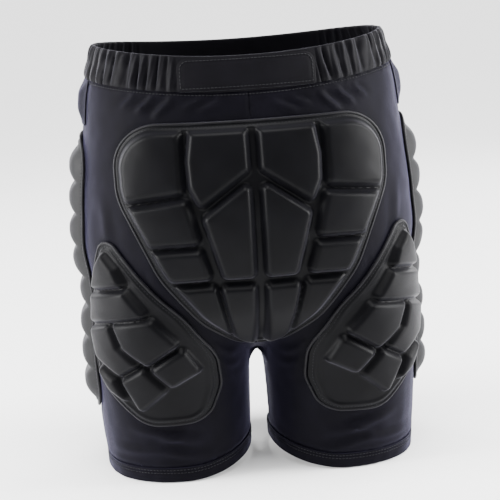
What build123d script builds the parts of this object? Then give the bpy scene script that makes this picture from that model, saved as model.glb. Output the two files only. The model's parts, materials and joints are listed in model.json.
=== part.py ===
from build123d import *
import os
from functools import lru_cache
from math import cos, radians, sin

os.makedirs("parts", exist_ok=True)

# Padded impact shorts, standing as if worn, in millimetres.
# +Z is up, the front faces -Y and the wearer's left side is +X.
# The leg hems stand on Z = 0, and X = Y = 0 is the middle of the overall box.

# ---------------------------------------------------------------- driving dimensions
RIM_HEIGHT = 468            # top of the waistband at the centre front and back
RIM_RISE = 12               # how much higher it stands at the sides
RIM_HALF_WIDTH = 157
WAISTBAND = 37              # height of the waistband
HEM_RISE = 16               # how much the leg opening lifts at the inner thigh
HEM_BAND = 17               # height of the turned-up hem
LEG_AXIS = 94               # centre of a leg, from the centre of the body
LEG_GAP = 8                 # from the centre of the body to the inner thigh
SHIFT_Y = 2.4               # brings the middle of the overall depth to Y = 0
REACH = 210                 # past the widest half width

# Levels of the torso: height, half width, half depth, centre in Y, drop.
# drop is how much a layer grown over the skin also grows downwards, at the crotch.
TORSO = [
    (130, 22, 20, -16, 1.0),
    (142, 50, 46, -14, 1.0),
    (165, 100, 86, -12, 0.5),
    (200, 158, 117, -11, 0.0),
    (240, 182, 128, -10, 0.0),
    (300, 184, 131, -9, 0.0),
    (350, 180, 127, -12, 0.0),
    (390, 176, 121, -15, 0.0),
    (435, 171, 114, -18, 0.0),
    (480, 157, 106, -19, 0.0),
    (500, 152, 103, -19, 0.0),
]
# Levels of a leg: height, centre in X, half width, half depth, centre in Y.
LEG = [
    (-20, 94.0, 83.0, 91, -19),
    (0, 94.0, 83.0, 92, -19),
    (60, 95.0, 85.5, 97, -17),
    (100, 95.5, 87.0, 101, -15),
    (140, 94.0, 89.0, 107, -13),
    (180, 91.0, 90.0, 112, -11),
    (240, 84.0, 86.0, 110, -10),
    (300, 70.0, 70.0, 90, -9),
]

# Layers, as heights above the outer face of the shell fabric.
FABRIC = 1.6                # shell panels
HEM_OUT, HEM_IN = 0.6, -2.2
CASING_OUT, CASING_IN = 1.2, -3.0
CHANNEL_OUT, CHANNEL_IN = 0.2, -2.0
ELASTIC_OUT, ELASTIC_IN = 0.0, -1.8
PATCH_IN, PATCH_OUT = 1.4, 2.4
LOOP_IN, LOOP_OUT = 1.4, 2.2
HOOK_IN, HOOK_OUT = 2.5, 3.3
TAB_IN, TAB_OUT = 3.5, 5.0
LAYER_GAP = 0.25            # between a layer and the one under it
BACKING_OUT = 1.75          # spacer fabric behind a pad
FOAM_IN = 2.0
BODY_PAD_FOAM_OUT = 11.8    # seat and thigh pads
SIDE_PAD_FOAM_OUT = 14.2
SKIN = 1.2                  # pad cover fabric
CREST_FOAM_IN, CREST_FOAM_OUT = 0.5, 4.4
YOKE_OUT = 5.6
PIPING_OUT = 3.4
PIPING_WIDTH = 1.8
SEAM_GAP = 0.3              # between neighbouring shell panels

SIDE_SEAM_Y = -8            # front panels in front of it, back panels behind
FAR = 320                   # past every surface of the shorts
OVERCUT = 0.1               # how far a pocket cuts past the layer it opens

# ---------------------------------------------------------------- outlines
# Edges of the front panels on the left half, from the waist down: (x, z).
CENTRE_PANEL_EDGE = [(42, 500), (42, 433), (43, 350), (39, 275), (33, 230), (28, 190),
                     (20, 150), (16, 124)]
MESH_EDGE = [(86, 500), (86, 433), (84, 360), (78, 285), (70, 235), (57, 206), (40, 184)]
MESH_FOOT = 180
MESH_INNER_X = 13           # under the centre panel, which cuts the strip's inner edge
GUSSET_HALF_WIDTH = 24
GUSSET_HALF_LENGTH = 50
GUSSET_Y = -12              # its middle, front to back
GUSSET_LOW, GUSSET_HIGH = 112, 168

YOKE_FRONT_X = 88           # front edge of the hip yoke
YOKE_BACK_Y = 14            # back edge of the hip yoke, just behind the side
YOKE_HEIGHT = 50
YOKE_SEAM = 1               # between the waist seam and the top of the yoke
CREST_FRONT_X = 132
CREST_MARGIN = 5

# Left half outline of the seat pad seen from behind, as corners to be rounded: (x, z, radius).
SEAT_OUTLINE = [(141, 399, 45), (141, 325, 60), (103, 240, 100), (62, 188, 80), (25, 159, 40),
                (0, 151, 25)]
# Foam blocks of its left half, in rows from the top.
SEAT_BLOCKS = [
    [(7, 391), (7, 351), (57, 316), (66, 336), (67, 362), (62, 391)],
    [(74, 391), (74, 331), (124, 323), (130, 346), (125, 369), (112, 384), (94, 391)],
    [(7, 338), (7, 242), (37, 242), (54, 304)],
    [(71, 322), (122, 315), (106, 277), (61, 280)],
    [(60, 271), (102, 268), (86, 240), (51, 242)],
    [(7, 231), (40, 231), (29, 183), (7, 180)],
    [(48, 232), (81, 231), (58, 200), (38, 190)],
]
SEAT_CORNER_RADIUS = 4.5

# Thigh pad, drawn on a plane through THIGH_PLANE_Y, turned THIGH_TURN from the back to the side:
# (distance towards the seat from the leg's axis, z, radius).
THIGH_PLANE_Y = -13 + SHIFT_Y
THIGH_TURN = 32
THIGH_OUTLINE = [(-16, 284, 14), (68, 197, 70), (87, 150, 60), (84, 112, 60), (72, 74, 22),
                 (18, 72, 40), (-44, 120, 40), (-49, 160, 80), (-44, 225, 60)]
THIGH_BLOCKS = [
    [(-35, 223), (-28, 249), (-14, 264), (3, 249), (12, 232)],
    [(-39, 215), (14, 226), (37, 200), (-41, 183)],
    [(-42, 176), (-9, 186), (0, 163), (22, 146), (-3, 131), (-34, 146)],
    [(-4, 188), (41, 195), (61, 169), (30, 146), (7, 163)],
    [(34, 140), (65, 162), (74, 136), (49, 120)],
    [(-1, 125), (26, 141), (44, 117), (15, 90)],
    [(-40, 139), (-11, 124), (6, 98), (-19, 110)],
]
THIGH_CORNER_RADIUS = 3.0

# Side pad, seen from the left, front edge first: (y, z, radius).
SIDE_OUTLINE = [(-62, 382, 22), (-82, 325, 80), (-60, 74, 26), (20, 74, 30), (20, 378, 34)]
SIDE_MARGIN = 7
SIDE_SEGMENTS = 8
SIDE_SEGMENT_FOOT = 88
SIDE_SEGMENT_PITCH = 35.2
SIDE_SEGMENT_GROOVE = 5

# Closure on the front of the waistband; the tab hinges at its sewn left end.
TAB_FREE_X = -46
HINGE_X = 46
ANCHOR_END_X = 57
TAB_HEIGHT = 27
TAB_MIDDLE = 450
TAB_CORNER = 5
HINGE_GAP = 0.25
LOOP_END_X = 36
HOOK_END_X = 34
HOOK_INSET = 4
PATCH_HALF_WIDTH = 72

# Depths below the rim at which the channel, the elastic and the back patch start.
CHANNEL_TOP = 2
ELASTIC_TOP = 2.5
PATCH_TOP = 1.5
WAIST_LAYER_FOOT = 1        # how far above the waist seam the elastic and the patch end


# ---------------------------------------------------------------- shared shapes
@lru_cache(maxsize=None)
def figure(grow):
    """The solid inside the shorts' outer face, grown outwards by grow."""
    with BuildPart() as solid:
        for z, half_width, half_depth, centre_y, drop in TORSO:
            with BuildSketch(Plane((0, centre_y + SHIFT_Y, z - grow * drop))):
                Ellipse(half_width + grow, half_depth + grow)
        loft(ruled=True)
        for side in (-1, 1):
            for z, centre_x, half_width, half_depth, centre_y in LEG:
                with BuildSketch(Plane((side * centre_x, centre_y + SHIFT_Y, z))):
                    Ellipse(half_width + grow, half_depth + grow)
            loft(ruled=True)
    return solid.part


def layer(region, inner, outer):
    """The part of a region that lies between two such figures: one layer of fabric or foam."""
    with BuildPart() as solid:
        add(region)
        add(figure(outer), mode=Mode.INTERSECT)
        add(figure(inner), mode=Mode.SUBTRACT)
    return solid.part


@lru_cache(maxsize=None)
def between(low, high):
    """A slab through the whole width, between two of the garment's level curves.

    low and high are ("hem", height above the hem line) or ("rim", depth below the rim).
    """
    rise = RIM_RISE * (REACH / RIM_HALF_WIDTH) ** 2
    ends = []
    with BuildPart() as solid:
        with BuildSketch(Plane.XZ):
            with BuildLine():
                for kind, distance in (low, high):
                    if kind == "rim":
                        middle = RIM_HEIGHT - distance
                        ends.append(middle + rise)
                        ThreePointArc((-REACH, ends[-1]), (0, middle), (REACH, ends[-1]))
                        continue
                    ends.append(distance)
                    inner = distance + HEM_RISE
                    halfway = ((LEG_AXIS + LEG_GAP) / 2, distance + HEM_RISE / 4)
                    Line((-LEG_GAP, inner), (LEG_GAP, inner))
                    for side in (-1, 1):
                        Line((side * REACH, distance), (side * LEG_AXIS, distance))
                        ThreePointArc(
                            (side * LEG_AXIS, distance),
                            (side * halfway[0], halfway[1]),
                            (side * LEG_GAP, inner),
                        )
                for side in (-1, 1):
                    Line((side * REACH, ends[0]), (side * REACH, ends[1]))
            make_face()
        extrude(amount=FAR, both=True)
    return solid.part


def sheet_box(low, high):
    """A plain box between two corners, used to divide panels."""
    size = [b - a for a, b in zip(low, high)]
    middle = [(a + b) / 2 for a, b in zip(low, high)]
    with BuildPart() as solid:
        with Locations(Vector(*middle)):
            Box(*size)
    return solid.part


def keep(part, name):
    """Label one finished piece and write it."""
    part.label = name
    export_step(part, f"parts/{name}.step")
    print(name, len(part.solids()), round(part.volume))


def keep_pair(left, stem):
    """Write the left piece and its mirror image on the right."""
    keep(left, f"{stem}_left")
    with BuildPart() as right:
        add(left)
        mirror(about=Plane.YZ, mode=Mode.REPLACE)
    keep(right.part, f"{stem}_right")


def front_prism(inner, outer, shift):
    """The prism towards the front between an inner edge and an outer edge moved by shift."""
    with BuildPart() as solid:
        with BuildSketch(Plane.XZ):
            with BuildLine():
                first = Polyline(*inner)
                second = Polyline(*[(x + shift, z) for x, z in outer])
                Line(first @ 0, second @ 0)
                Line(first @ 1, second @ 1)
            make_face()
        extrude(amount=FAR)
    return solid.part


# ---------------------------------------------------------------- shell panels
HEM_TOP = ("hem", HEM_BAND)
ABOVE_HEM = ("hem", HEM_BAND + SEAM_GAP)
SEAM_LINE = ("rim", WAISTBAND)
BELOW_SEAM = ("rim", WAISTBAND + SEAM_GAP)

shell = layer(between(ABOVE_HEM, BELOW_SEAM), -FABRIC, 0)



def gusset_box(margin):
    """The space of the crotch gusset, grown by margin."""
    half_width = GUSSET_HALF_WIDTH + margin
    half_length = GUSSET_HALF_LENGTH + margin
    return sheet_box(
        (-half_width, GUSSET_Y - half_length, GUSSET_LOW - margin),
        (half_width, GUSSET_Y + half_length, GUSSET_HIGH + margin),
    )


gusset_space = gusset_box(SEAM_GAP)

with BuildPart() as crotch_gusset:
    add(shell)
    add(gusset_box(0), mode=Mode.INTERSECT)
keep(crotch_gusset.part, "crotch_gusset")

front_half = sheet_box((-FAR, -FAR, -FAR), (FAR, SIDE_SEAM_Y - SEAM_GAP / 2, 2 * FAR))
back_left = sheet_box((SEAM_GAP / 2, SIDE_SEAM_Y + SEAM_GAP / 2, -FAR), (FAR, FAR, 2 * FAR))
front_left = sheet_box((SEAM_GAP / 2, -FAR, -FAR), (FAR, SIDE_SEAM_Y - SEAM_GAP / 2, 2 * FAR))

centre_line = [(0, CENTRE_PANEL_EDGE[0][1]), (0, CENTRE_PANEL_EDGE[-1][1])]
centre_half = front_prism(centre_line, CENTRE_PANEL_EDGE, 0)
centre_half_space = front_prism(centre_line, CENTRE_PANEL_EDGE, SEAM_GAP)
mesh_inner = [(MESH_INNER_X, MESH_EDGE[0][1]), (MESH_INNER_X, MESH_FOOT)]
mesh_half = front_prism(mesh_inner, MESH_EDGE, 0)
mesh_half_space = front_prism(mesh_inner, MESH_EDGE, SEAM_GAP)

with BuildPart() as front_centre_panel:
    add(centre_half)
    mirror(about=Plane.YZ)
    add(shell, mode=Mode.INTERSECT)
    add(front_half, mode=Mode.INTERSECT)
    add(gusset_space, mode=Mode.SUBTRACT)
keep(front_centre_panel.part, "front_centre_panel")

with BuildPart() as mesh_strip:
    add(shell)
    add(mesh_half, mode=Mode.INTERSECT)
    add(centre_half_space, mode=Mode.SUBTRACT)
keep_pair(mesh_strip.part, "mesh_strip")

with BuildPart() as front_leg_panel:
    add(shell)
    add(front_left, mode=Mode.INTERSECT)
    add(gusset_space, mode=Mode.SUBTRACT)
    add(centre_half_space, mode=Mode.SUBTRACT)
    add(mesh_half_space, mode=Mode.SUBTRACT)
keep_pair(front_leg_panel.part, "front_leg_panel")

with BuildPart() as back_leg_panel:
    add(shell)
    add(back_left, mode=Mode.INTERSECT)
    add(gusset_space, mode=Mode.SUBTRACT)
keep_pair(back_leg_panel.part, "back_leg_panel")

with BuildPart() as hem_space:
    add(between(("hem", 0), HEM_TOP))
    add(sheet_box((0, -FAR, -FAR), (FAR, FAR, FAR)), mode=Mode.INTERSECT)
keep_pair(layer(hem_space.part, HEM_IN, HEM_OUT), "leg_hem")

# ---------------------------------------------------------------- waistband
with BuildPart() as waistband_casing:
    add(layer(between(SEAM_LINE, ("rim", 0)), CASING_IN, CASING_OUT))
    channel_space = between(("rim", WAISTBAND + CHANNEL_TOP), ("rim", CHANNEL_TOP))
    add(layer(channel_space, CHANNEL_IN, CHANNEL_OUT), mode=Mode.SUBTRACT)
keep(waistband_casing.part, "waistband_casing")

elastic_space = between(("rim", WAISTBAND - WAIST_LAYER_FOOT), ("rim", ELASTIC_TOP))
keep(layer(elastic_space, ELASTIC_IN, ELASTIC_OUT), "waist_elastic")

with BuildPart() as patch_space:
    add(between(("rim", WAISTBAND - WAIST_LAYER_FOOT), ("rim", PATCH_TOP)))
    add(
        sheet_box((-PATCH_HALF_WIDTH, 0, 0), (PATCH_HALF_WIDTH, FAR, 2 * FAR)),
        mode=Mode.INTERSECT,
    )
keep(layer(patch_space.part, PATCH_IN, PATCH_OUT), "back_waist_patch")


def waist_strip(inner, outer, start_x, end_x, height, corner):
    """One flat strip on the front of the waistband, its free corners rounded."""
    low, high = TAB_MIDDLE - height / 2, TAB_MIDDLE + height / 2
    with BuildPart() as strip:
        with BuildSketch(Plane.XZ) as face:
            with BuildLine():
                Polyline((start_x, low), (end_x, low), (end_x, high), (start_x, high), close=True)
            make_face()
            if corner:
                fillet(face.vertices().group_by(Axis.X)[0], corner)
        extrude(amount=FAR)
    return layer(strip.part, inner, outer)


keep(
    waist_strip(LOOP_IN, LOOP_OUT, TAB_FREE_X, LOOP_END_X, TAB_HEIGHT - HOOK_INSET, 0),
    "waist_loop_strip",
)
keep(
    waist_strip(LOOP_IN, TAB_OUT, HINGE_X + HINGE_GAP, ANCHOR_END_X, TAB_HEIGHT, 0),
    "closure_anchor",
)
keep(
    waist_strip(TAB_IN, TAB_OUT, TAB_FREE_X, HINGE_X - HINGE_GAP, TAB_HEIGHT, TAB_CORNER),
    "closure_tab",
)
hook_start_x = TAB_FREE_X + HOOK_INSET
hook_height = TAB_HEIGHT - 2 * HOOK_INSET
keep(
    waist_strip(HOOK_IN, HOOK_OUT, hook_start_x, HOOK_END_X, hook_height, 0),
    "closure_hook_strip",
)

# ---------------------------------------------------------------- hip yokes and crest pads
def hip_region(margin):
    """The space of the hip yoke on the left, drawn in by margin on every side."""
    foot = ("rim", WAISTBAND + YOKE_HEIGHT - margin)
    head = ("rim", WAISTBAND + YOKE_SEAM + margin)
    with BuildPart() as region:
        add(between(foot, head))
        add(
            sheet_box((YOKE_FRONT_X + margin, -FAR, 0), (FAR, YOKE_BACK_Y - margin, 2 * FAR)),
            mode=Mode.INTERSECT,
        )
    return region.part


with BuildPart() as hip_yoke:
    add(layer(hip_region(0), LAYER_GAP, YOKE_OUT))
    pocket = layer(hip_region(FABRIC), LAYER_GAP - OVERCUT, CREST_FOAM_OUT + LAYER_GAP)
    add(pocket, mode=Mode.SUBTRACT)
keep_pair(hip_yoke.part, "hip_yoke")

with BuildPart() as crest_space:
    add(hip_region(CREST_MARGIN))
    add(sheet_box((CREST_FRONT_X, -FAR, 0), (FAR, FAR, 2 * FAR)), mode=Mode.INTERSECT)
keep_pair(layer(crest_space.part, CREST_FOAM_IN, CREST_FOAM_OUT), "hip_crest_pad")


# ---------------------------------------------------------------- pads
def pad_pieces(outline, blocks, foam_out):
    """Backing, foam blocks, moulded cover and piping of one pad.

    outline(margin) is the prism through the pad's outline, drawn in by margin, and
    blocks(margin) holds the prisms of its foam blocks, each grown by margin.
    """
    pocket_out = foam_out + LAYER_GAP
    cover_out = pocket_out + SKIN
    with BuildPart() as cover:
        add(layer(outline(0), FOAM_IN, FOAM_IN + SKIN))
        add(layer(blocks(LAYER_GAP + SKIN), FOAM_IN, cover_out))
        add(layer(blocks(LAYER_GAP), FOAM_IN - OVERCUT, pocket_out), mode=Mode.SUBTRACT)
    with BuildPart() as piping_space:
        add(outline(-LAYER_GAP - PIPING_WIDTH))
        add(outline(-LAYER_GAP), mode=Mode.SUBTRACT)
    return (
        layer(outline(0), LAYER_GAP, BACKING_OUT),
        layer(blocks(0), FOAM_IN, foam_out),
        cover.part,
        layer(piping_space.part, LAYER_GAP, PIPING_OUT),
    )


def rounded_prism(plane, corners, depth, margin):
    """The prism through a closed outline with rounded corners, drawn in by margin."""
    with BuildPart() as solid:
        with BuildSketch(plane):
            with BuildLine():
                points = [(x, z) for x, z, radius in corners]
                radii = [radius for x, z, radius in corners]
                FilletPolyline(*points, radius=radii, close=True)
            make_face()
            if margin:
                offset(amount=-margin)
        extrude(amount=depth)
    return solid.part


def block_prisms(plane, block_corners, radius, depth, margin):
    """Prisms through rounded foam blocks, each grown by margin."""
    with BuildPart() as solid:
        with BuildSketch(plane) as faces:
            for corners in block_corners:
                with BuildLine():
                    Polyline(*corners, close=True)
                make_face()
            fillet(faces.vertices(), radius)
            if margin:
                offset(amount=margin)
        extrude(amount=depth)
    return solid.part


def seat_outline(margin):
    """The prism through the seat pad's outline, drawn in by margin."""
    right_half = [(-x, z, radius) for x, z, radius in SEAT_OUTLINE[-2::-1]]
    return rounded_prism(Plane.XZ, SEAT_OUTLINE + right_half, -FAR, margin)


def seat_blocks(margin):
    """Prisms through the seat pad's foam blocks, each grown by margin."""
    right_half = [[(-x, z) for x, z in corners] for corners in SEAT_BLOCKS]
    return block_prisms(Plane.XZ, SEAT_BLOCKS + right_half, SEAT_CORNER_RADIUS, -FAR, margin)


thigh_turn = radians(THIGH_TURN)
THIGH_PLANE = Plane(
    origin=(LEG_AXIS, THIGH_PLANE_Y, 0),
    x_dir=(-cos(thigh_turn), sin(thigh_turn), 0),
    z_dir=(sin(thigh_turn), cos(thigh_turn), 0),
)


def thigh_outline(margin):
    """The prism through the left thigh pad's outline, drawn in by margin."""
    return rounded_prism(THIGH_PLANE, THIGH_OUTLINE, FAR, margin)


def thigh_blocks(margin):
    """Prisms through the left thigh pad's foam blocks, each grown by margin."""
    return block_prisms(THIGH_PLANE, THIGH_BLOCKS, THIGH_CORNER_RADIUS, FAR, margin)


SIDE_PLANE = Plane.YZ.offset(LEG_AXIS)


def side_outline(margin):
    """The prism through the left side pad's outline, drawn in by margin."""
    return rounded_prism(SIDE_PLANE, SIDE_OUTLINE, FAR, margin)


def side_blocks(margin):
    """Prisms through the side pad's foam segments, one above another, each grown by margin."""
    height = SIDE_SEGMENT_PITCH - SIDE_SEGMENT_GROOVE + 2 * margin
    lowest = SIDE_SEGMENT_FOOT - margin + height / 2
    with BuildPart() as solid:
        add(side_outline(SIDE_MARGIN - margin))
        with BuildPart(mode=Mode.PRIVATE) as rows:
            for row in range(SIDE_SEGMENTS):
                with Locations((FAR, 0, lowest + SIDE_SEGMENT_PITCH * row)):
                    Box(2 * FAR, 2 * FAR, height)
        add(rows.part, mode=Mode.INTERSECT)
    return solid.part


for stem, outline, blocks, foam_out in (
    ("seat_pad", seat_outline, seat_blocks, BODY_PAD_FOAM_OUT),
    ("thigh_pad", thigh_outline, thigh_blocks, BODY_PAD_FOAM_OUT),
    ("side_pad", side_outline, side_blocks, SIDE_PAD_FOAM_OUT),
):
    pieces = pad_pieces(outline, blocks, foam_out)
    for piece, name in zip(pieces, ("backing", "foam", "cover", "piping")):
        if stem == "seat_pad":
            keep(piece, f"{stem}_{name}")
        else:
            keep_pair(piece, f"{stem}_{name}")
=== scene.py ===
import json
import math
from collections import namedtuple

import bpy
import numpy as np
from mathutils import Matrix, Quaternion, Vector


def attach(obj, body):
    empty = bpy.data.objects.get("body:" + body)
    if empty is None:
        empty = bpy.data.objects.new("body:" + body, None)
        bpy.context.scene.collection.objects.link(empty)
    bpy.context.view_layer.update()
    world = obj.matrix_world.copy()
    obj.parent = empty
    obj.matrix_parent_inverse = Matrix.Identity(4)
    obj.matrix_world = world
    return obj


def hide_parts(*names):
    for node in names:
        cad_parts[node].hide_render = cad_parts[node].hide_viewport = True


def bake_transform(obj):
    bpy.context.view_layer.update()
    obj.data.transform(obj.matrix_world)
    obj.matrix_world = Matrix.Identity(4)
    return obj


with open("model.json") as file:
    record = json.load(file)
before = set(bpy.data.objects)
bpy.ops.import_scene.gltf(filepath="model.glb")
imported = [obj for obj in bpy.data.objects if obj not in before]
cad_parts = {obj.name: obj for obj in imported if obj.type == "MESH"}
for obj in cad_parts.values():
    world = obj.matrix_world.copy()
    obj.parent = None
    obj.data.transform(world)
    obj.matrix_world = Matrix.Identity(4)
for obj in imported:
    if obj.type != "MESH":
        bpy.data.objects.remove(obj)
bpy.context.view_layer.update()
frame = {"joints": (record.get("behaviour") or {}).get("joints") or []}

# Padded impact shorts, as if worn. Lengths here are millimetres, and go to Blender in metres.
# +Z is up, the front faces -Y and the wearer's left side is +X.
MM = 0.001
SIDES = (("left", 1), ("right", -1))


# ---------------- sizes that part.py has too
RIM_HEIGHT = 468            # top of the waistband at the centre
RIM_RISE = 12               # how much higher it stands at the sides
RIM_HALF_WIDTH = 157
WAISTBAND = 37
HEM_RISE = 16
HEM_BAND = 17
LEG_AXIS = 94
LEG_GAP = 8
SHIFT_Y = 2.4
SIDE_SEAM_Y = -8
YOKE_FRONT_X = 88
YOKE_BACK_Y = 14
YOKE_HEIGHT = 50
PATCH_HALF_WIDTH = 72
TAB_FREE_X = -46
TAB_HEIGHT = 27
TAB_MIDDLE = 450
ANCHOR_END_X = 57
BEYOND = 230                # further out than any surface
FAR = 60.0                  # a distance that makes no difference
HIP_FROM_X = 60             # the hip yokes lie further out than this
HINGE = np.array(frame["joints"][0]["pos_m"]) / MM
HINGE_X = HINGE[0]

# Levels of the torso and of a leg: height, centre in X, half width, half depth, centre in Y.
TORSO = [
    (130, 0, 22, 20, -16), (142, 0, 50, 46, -14), (165, 0, 100, 86, -12),
    (200, 0, 158, 117, -11), (240, 0, 182, 128, -10), (300, 0, 184, 131, -9),
    (350, 0, 180, 127, -12), (390, 0, 176, 121, -15), (435, 0, 171, 114, -18),
    (480, 0, 157, 106, -19), (500, 0, 152, 103, -19),
]
LEG = [
    (-20, 94, 83, 91, -19), (0, 94, 83, 92, -19), (60, 95, 85.5, 97, -17),
    (100, 95.5, 87, 101, -15), (140, 94, 89, 107, -13), (180, 91, 90, 112, -11),
    (240, 84, 86, 110, -10), (300, 70, 70, 90, -9),
]
TORSO_SQUARENESS = 2.15
LEG_SQUARENESS = 2.1
BLEND = 20                  # how softly the legs run into the torso

# Edges of the front panels on the left half, from the waist down: (x, z).
CENTRE_PANEL_EDGE = [(42, 500), (42, 433), (43, 350), (39, 275), (33, 230), (28, 190),
                     (20, 150), (16, 124)]
MESH_EDGE = [(86, 500), (86, 433), (84, 360), (78, 285), (70, 235), (57, 206), (40, 184),
             (24, 178)]


# ---------------- smooth interpolation
def smooth_curve(knots, values, at):
    """Smooth interpolation through (knot, value) pairs, held flat beyond both ends."""
    slope = np.gradient(values, knots)
    at = np.clip(at, knots[0], knots[-1])
    i = np.clip(np.searchsorted(knots, at) - 1, 0, len(knots) - 2)
    span = knots[i + 1] - knots[i]
    t = (at - knots[i]) / span
    return (
        (2 * t**3 - 3 * t**2 + 1) * values[i]
        + (t**3 - 2 * t**2 + t) * span * slope[i]
        + (-2 * t**3 + 3 * t**2) * values[i + 1]
        + (t**3 - t**2) * span * slope[i + 1]
    )


def step_between(low, high, at):
    """0 below low, 1 above high, and smooth between them."""
    t = np.clip((at - low) / (high - low), 0, 1)
    return t * t * (3 - 2 * t)


HEIGHTS = np.arange(-60.0, 560.0, 1.0)
TORSO_AT = [smooth_curve(*np.array(TORSO, float).T[[0, c]], HEIGHTS) for c in (2, 3, 4)]
LEG_AT = [smooth_curve(*np.array(LEG, float).T[[0, c]], HEIGHTS) for c in (1, 2, 3, 4)]


# ---------------- the body's form
def field(p):
    """Roughly the distance outside the shell's outer face, negative inside."""
    x, y, z = np.abs(p[:, 0]), p[:, 1] - SHIFT_Y, p[:, 2]
    a, b, cy = (np.interp(z, HEIGHTS, t) for t in TORSO_AT)
    n = TORSO_SQUARENESS
    torso = (((x / a) ** n + (np.abs(y - cy) / b) ** n) ** (1 / n) - 1) * np.minimum(a, b)
    floor = TORSO[0][0]
    torso = np.where(z < floor, np.maximum(torso, floor - z), torso)
    cx, a, b, cy = (np.interp(z, HEIGHTS, t) for t in LEG_AT)
    n = LEG_SQUARENESS
    leg = (((np.abs(x - cx) / a) ** n + (np.abs(y - cy) / b) ** n) ** (1 / n) - 1)
    leg = leg * np.minimum(a, b)
    top = LEG[-1][0]
    leg = np.where(z > top, np.maximum(leg, z - top), leg)
    h = np.clip(0.5 + 0.5 * (leg - torso) / BLEND, 0, 1)
    return leg * (1 - h) + torso * h - BLEND * h * (1 - h)


def gradient(p, reach=0.4):
    """Gradient of the field."""
    out = np.empty_like(p)
    for axis in range(3):
        offset = np.zeros(3)
        offset[axis] = reach
        out[:, axis] = (field(p + offset) - field(p - offset)) / (2 * reach)
    return out


def normals_at(p):
    g = gradient(p)
    return g / np.linalg.norm(g, axis=1, keepdims=True)


def settle(p, rounds=4):
    """Move points along the gradient onto the surface."""
    for _ in range(rounds):
        g = gradient(p)
        p = p - g * (field(p) / np.maximum((g * g).sum(1), 1e-6))[:, None]
    return p


HALVINGS = 14               # of a stride, to find where a ray meets the surface


def cast(start, direction, reach, stride=6.0, leaving=False):
    """First points of the surface met along rays, from outside it or, when leaving, from inside."""
    direction = np.broadcast_to(direction, start.shape)
    side = -1 if leaving else 1
    steps = int(reach / stride)
    near = np.zeros(len(start))
    hit = np.zeros(len(start), bool)
    for k in range(steps):
        here = side * field(start + direction * (k * stride)) < 0
        new = here & ~hit
        near[new] = k * stride
        hit |= here
    low, high = near - stride, near.copy()
    for _ in range(HALVINGS):
        middle = (low + high) / 2
        past = side * field(start + direction * middle[:, None]) < 0
        high = np.where(past, middle, high)
        low = np.where(past, low, middle)
    return start + direction * high[:, None]


# ---------------- level curves and seams
def on_left(p):
    """The points, mirrored onto the left half."""
    return np.abs(p * [1, 0, 0]) + p * [0, 1, 1]


def at_y(flat, y):
    """Points at (x, z) and one y."""
    return np.stack([flat[:, 0], np.full(len(flat), y), flat[:, 1]], 1)


def met_from(flat, side):
    """Points and normals of the surface met at (x, z) from the front (-1) or the back (1)."""
    point = cast(at_y(flat, side * BEYOND), np.array([0, -float(side), 0]), BEYOND)
    return point, normals_at(point)


def on_front(flat):
    return met_from(flat, -1)


def on_back(flat):
    return met_from(flat, 1)


def hem_line(x):
    return HEM_RISE * np.clip((LEG_AXIS - np.abs(x)) / (LEG_AXIS - LEG_GAP), 0, 1) ** 2


def rim_line(x):
    return RIM_HEIGHT + RIM_RISE * (x / RIM_HALF_WIDTH) ** 2


def edge_x(edge, z):
    """X of a front panel's edge at a height."""
    points = np.array(edge[::-1], float)
    return smooth_curve(points[:, 1], points[:, 0], z)


# ---------------- noise
def lattice(i, j, k, seed):
    """A repeatable number from -1 to 1 for each corner of a grid."""
    h = (i * 374761393 + j * 668265263 + k * 2147483647 + seed * 974634777) & 0xFFFFFFFF
    h = ((h ^ (h >> 13)) * 1274126177) & 0xFFFFFFFF
    return ((h ^ (h >> 16)) & 0xFFFF) / 32767.5 - 1


def noise(p, scale, seed):
    """Smooth value noise from -1 to 1."""
    q = p / scale
    base = np.floor(q).astype(np.int64)
    t = q - base
    t = t * t * (3 - 2 * t)
    total = 0
    for corner in range(8):
        d = [(corner >> b) & 1 for b in range(3)]
        weight = np.prod([t[:, a] if d[a] else 1 - t[:, a] for a in range(3)], axis=0)
        total = total + weight * lattice(*(base[:, a] + d[a] for a in range(3)), seed)
    return total


# ---------------- mesh tools
SKIN_BOX = ((-212.0, -160.0, -14.0), (212.0, 156.0, 494.0))
STITCH_LENGTH = 2.6
STITCH_PITCH = 3.8
STITCH_LIFT = 0.35
THREAD_RADIUS = 0.42


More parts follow.
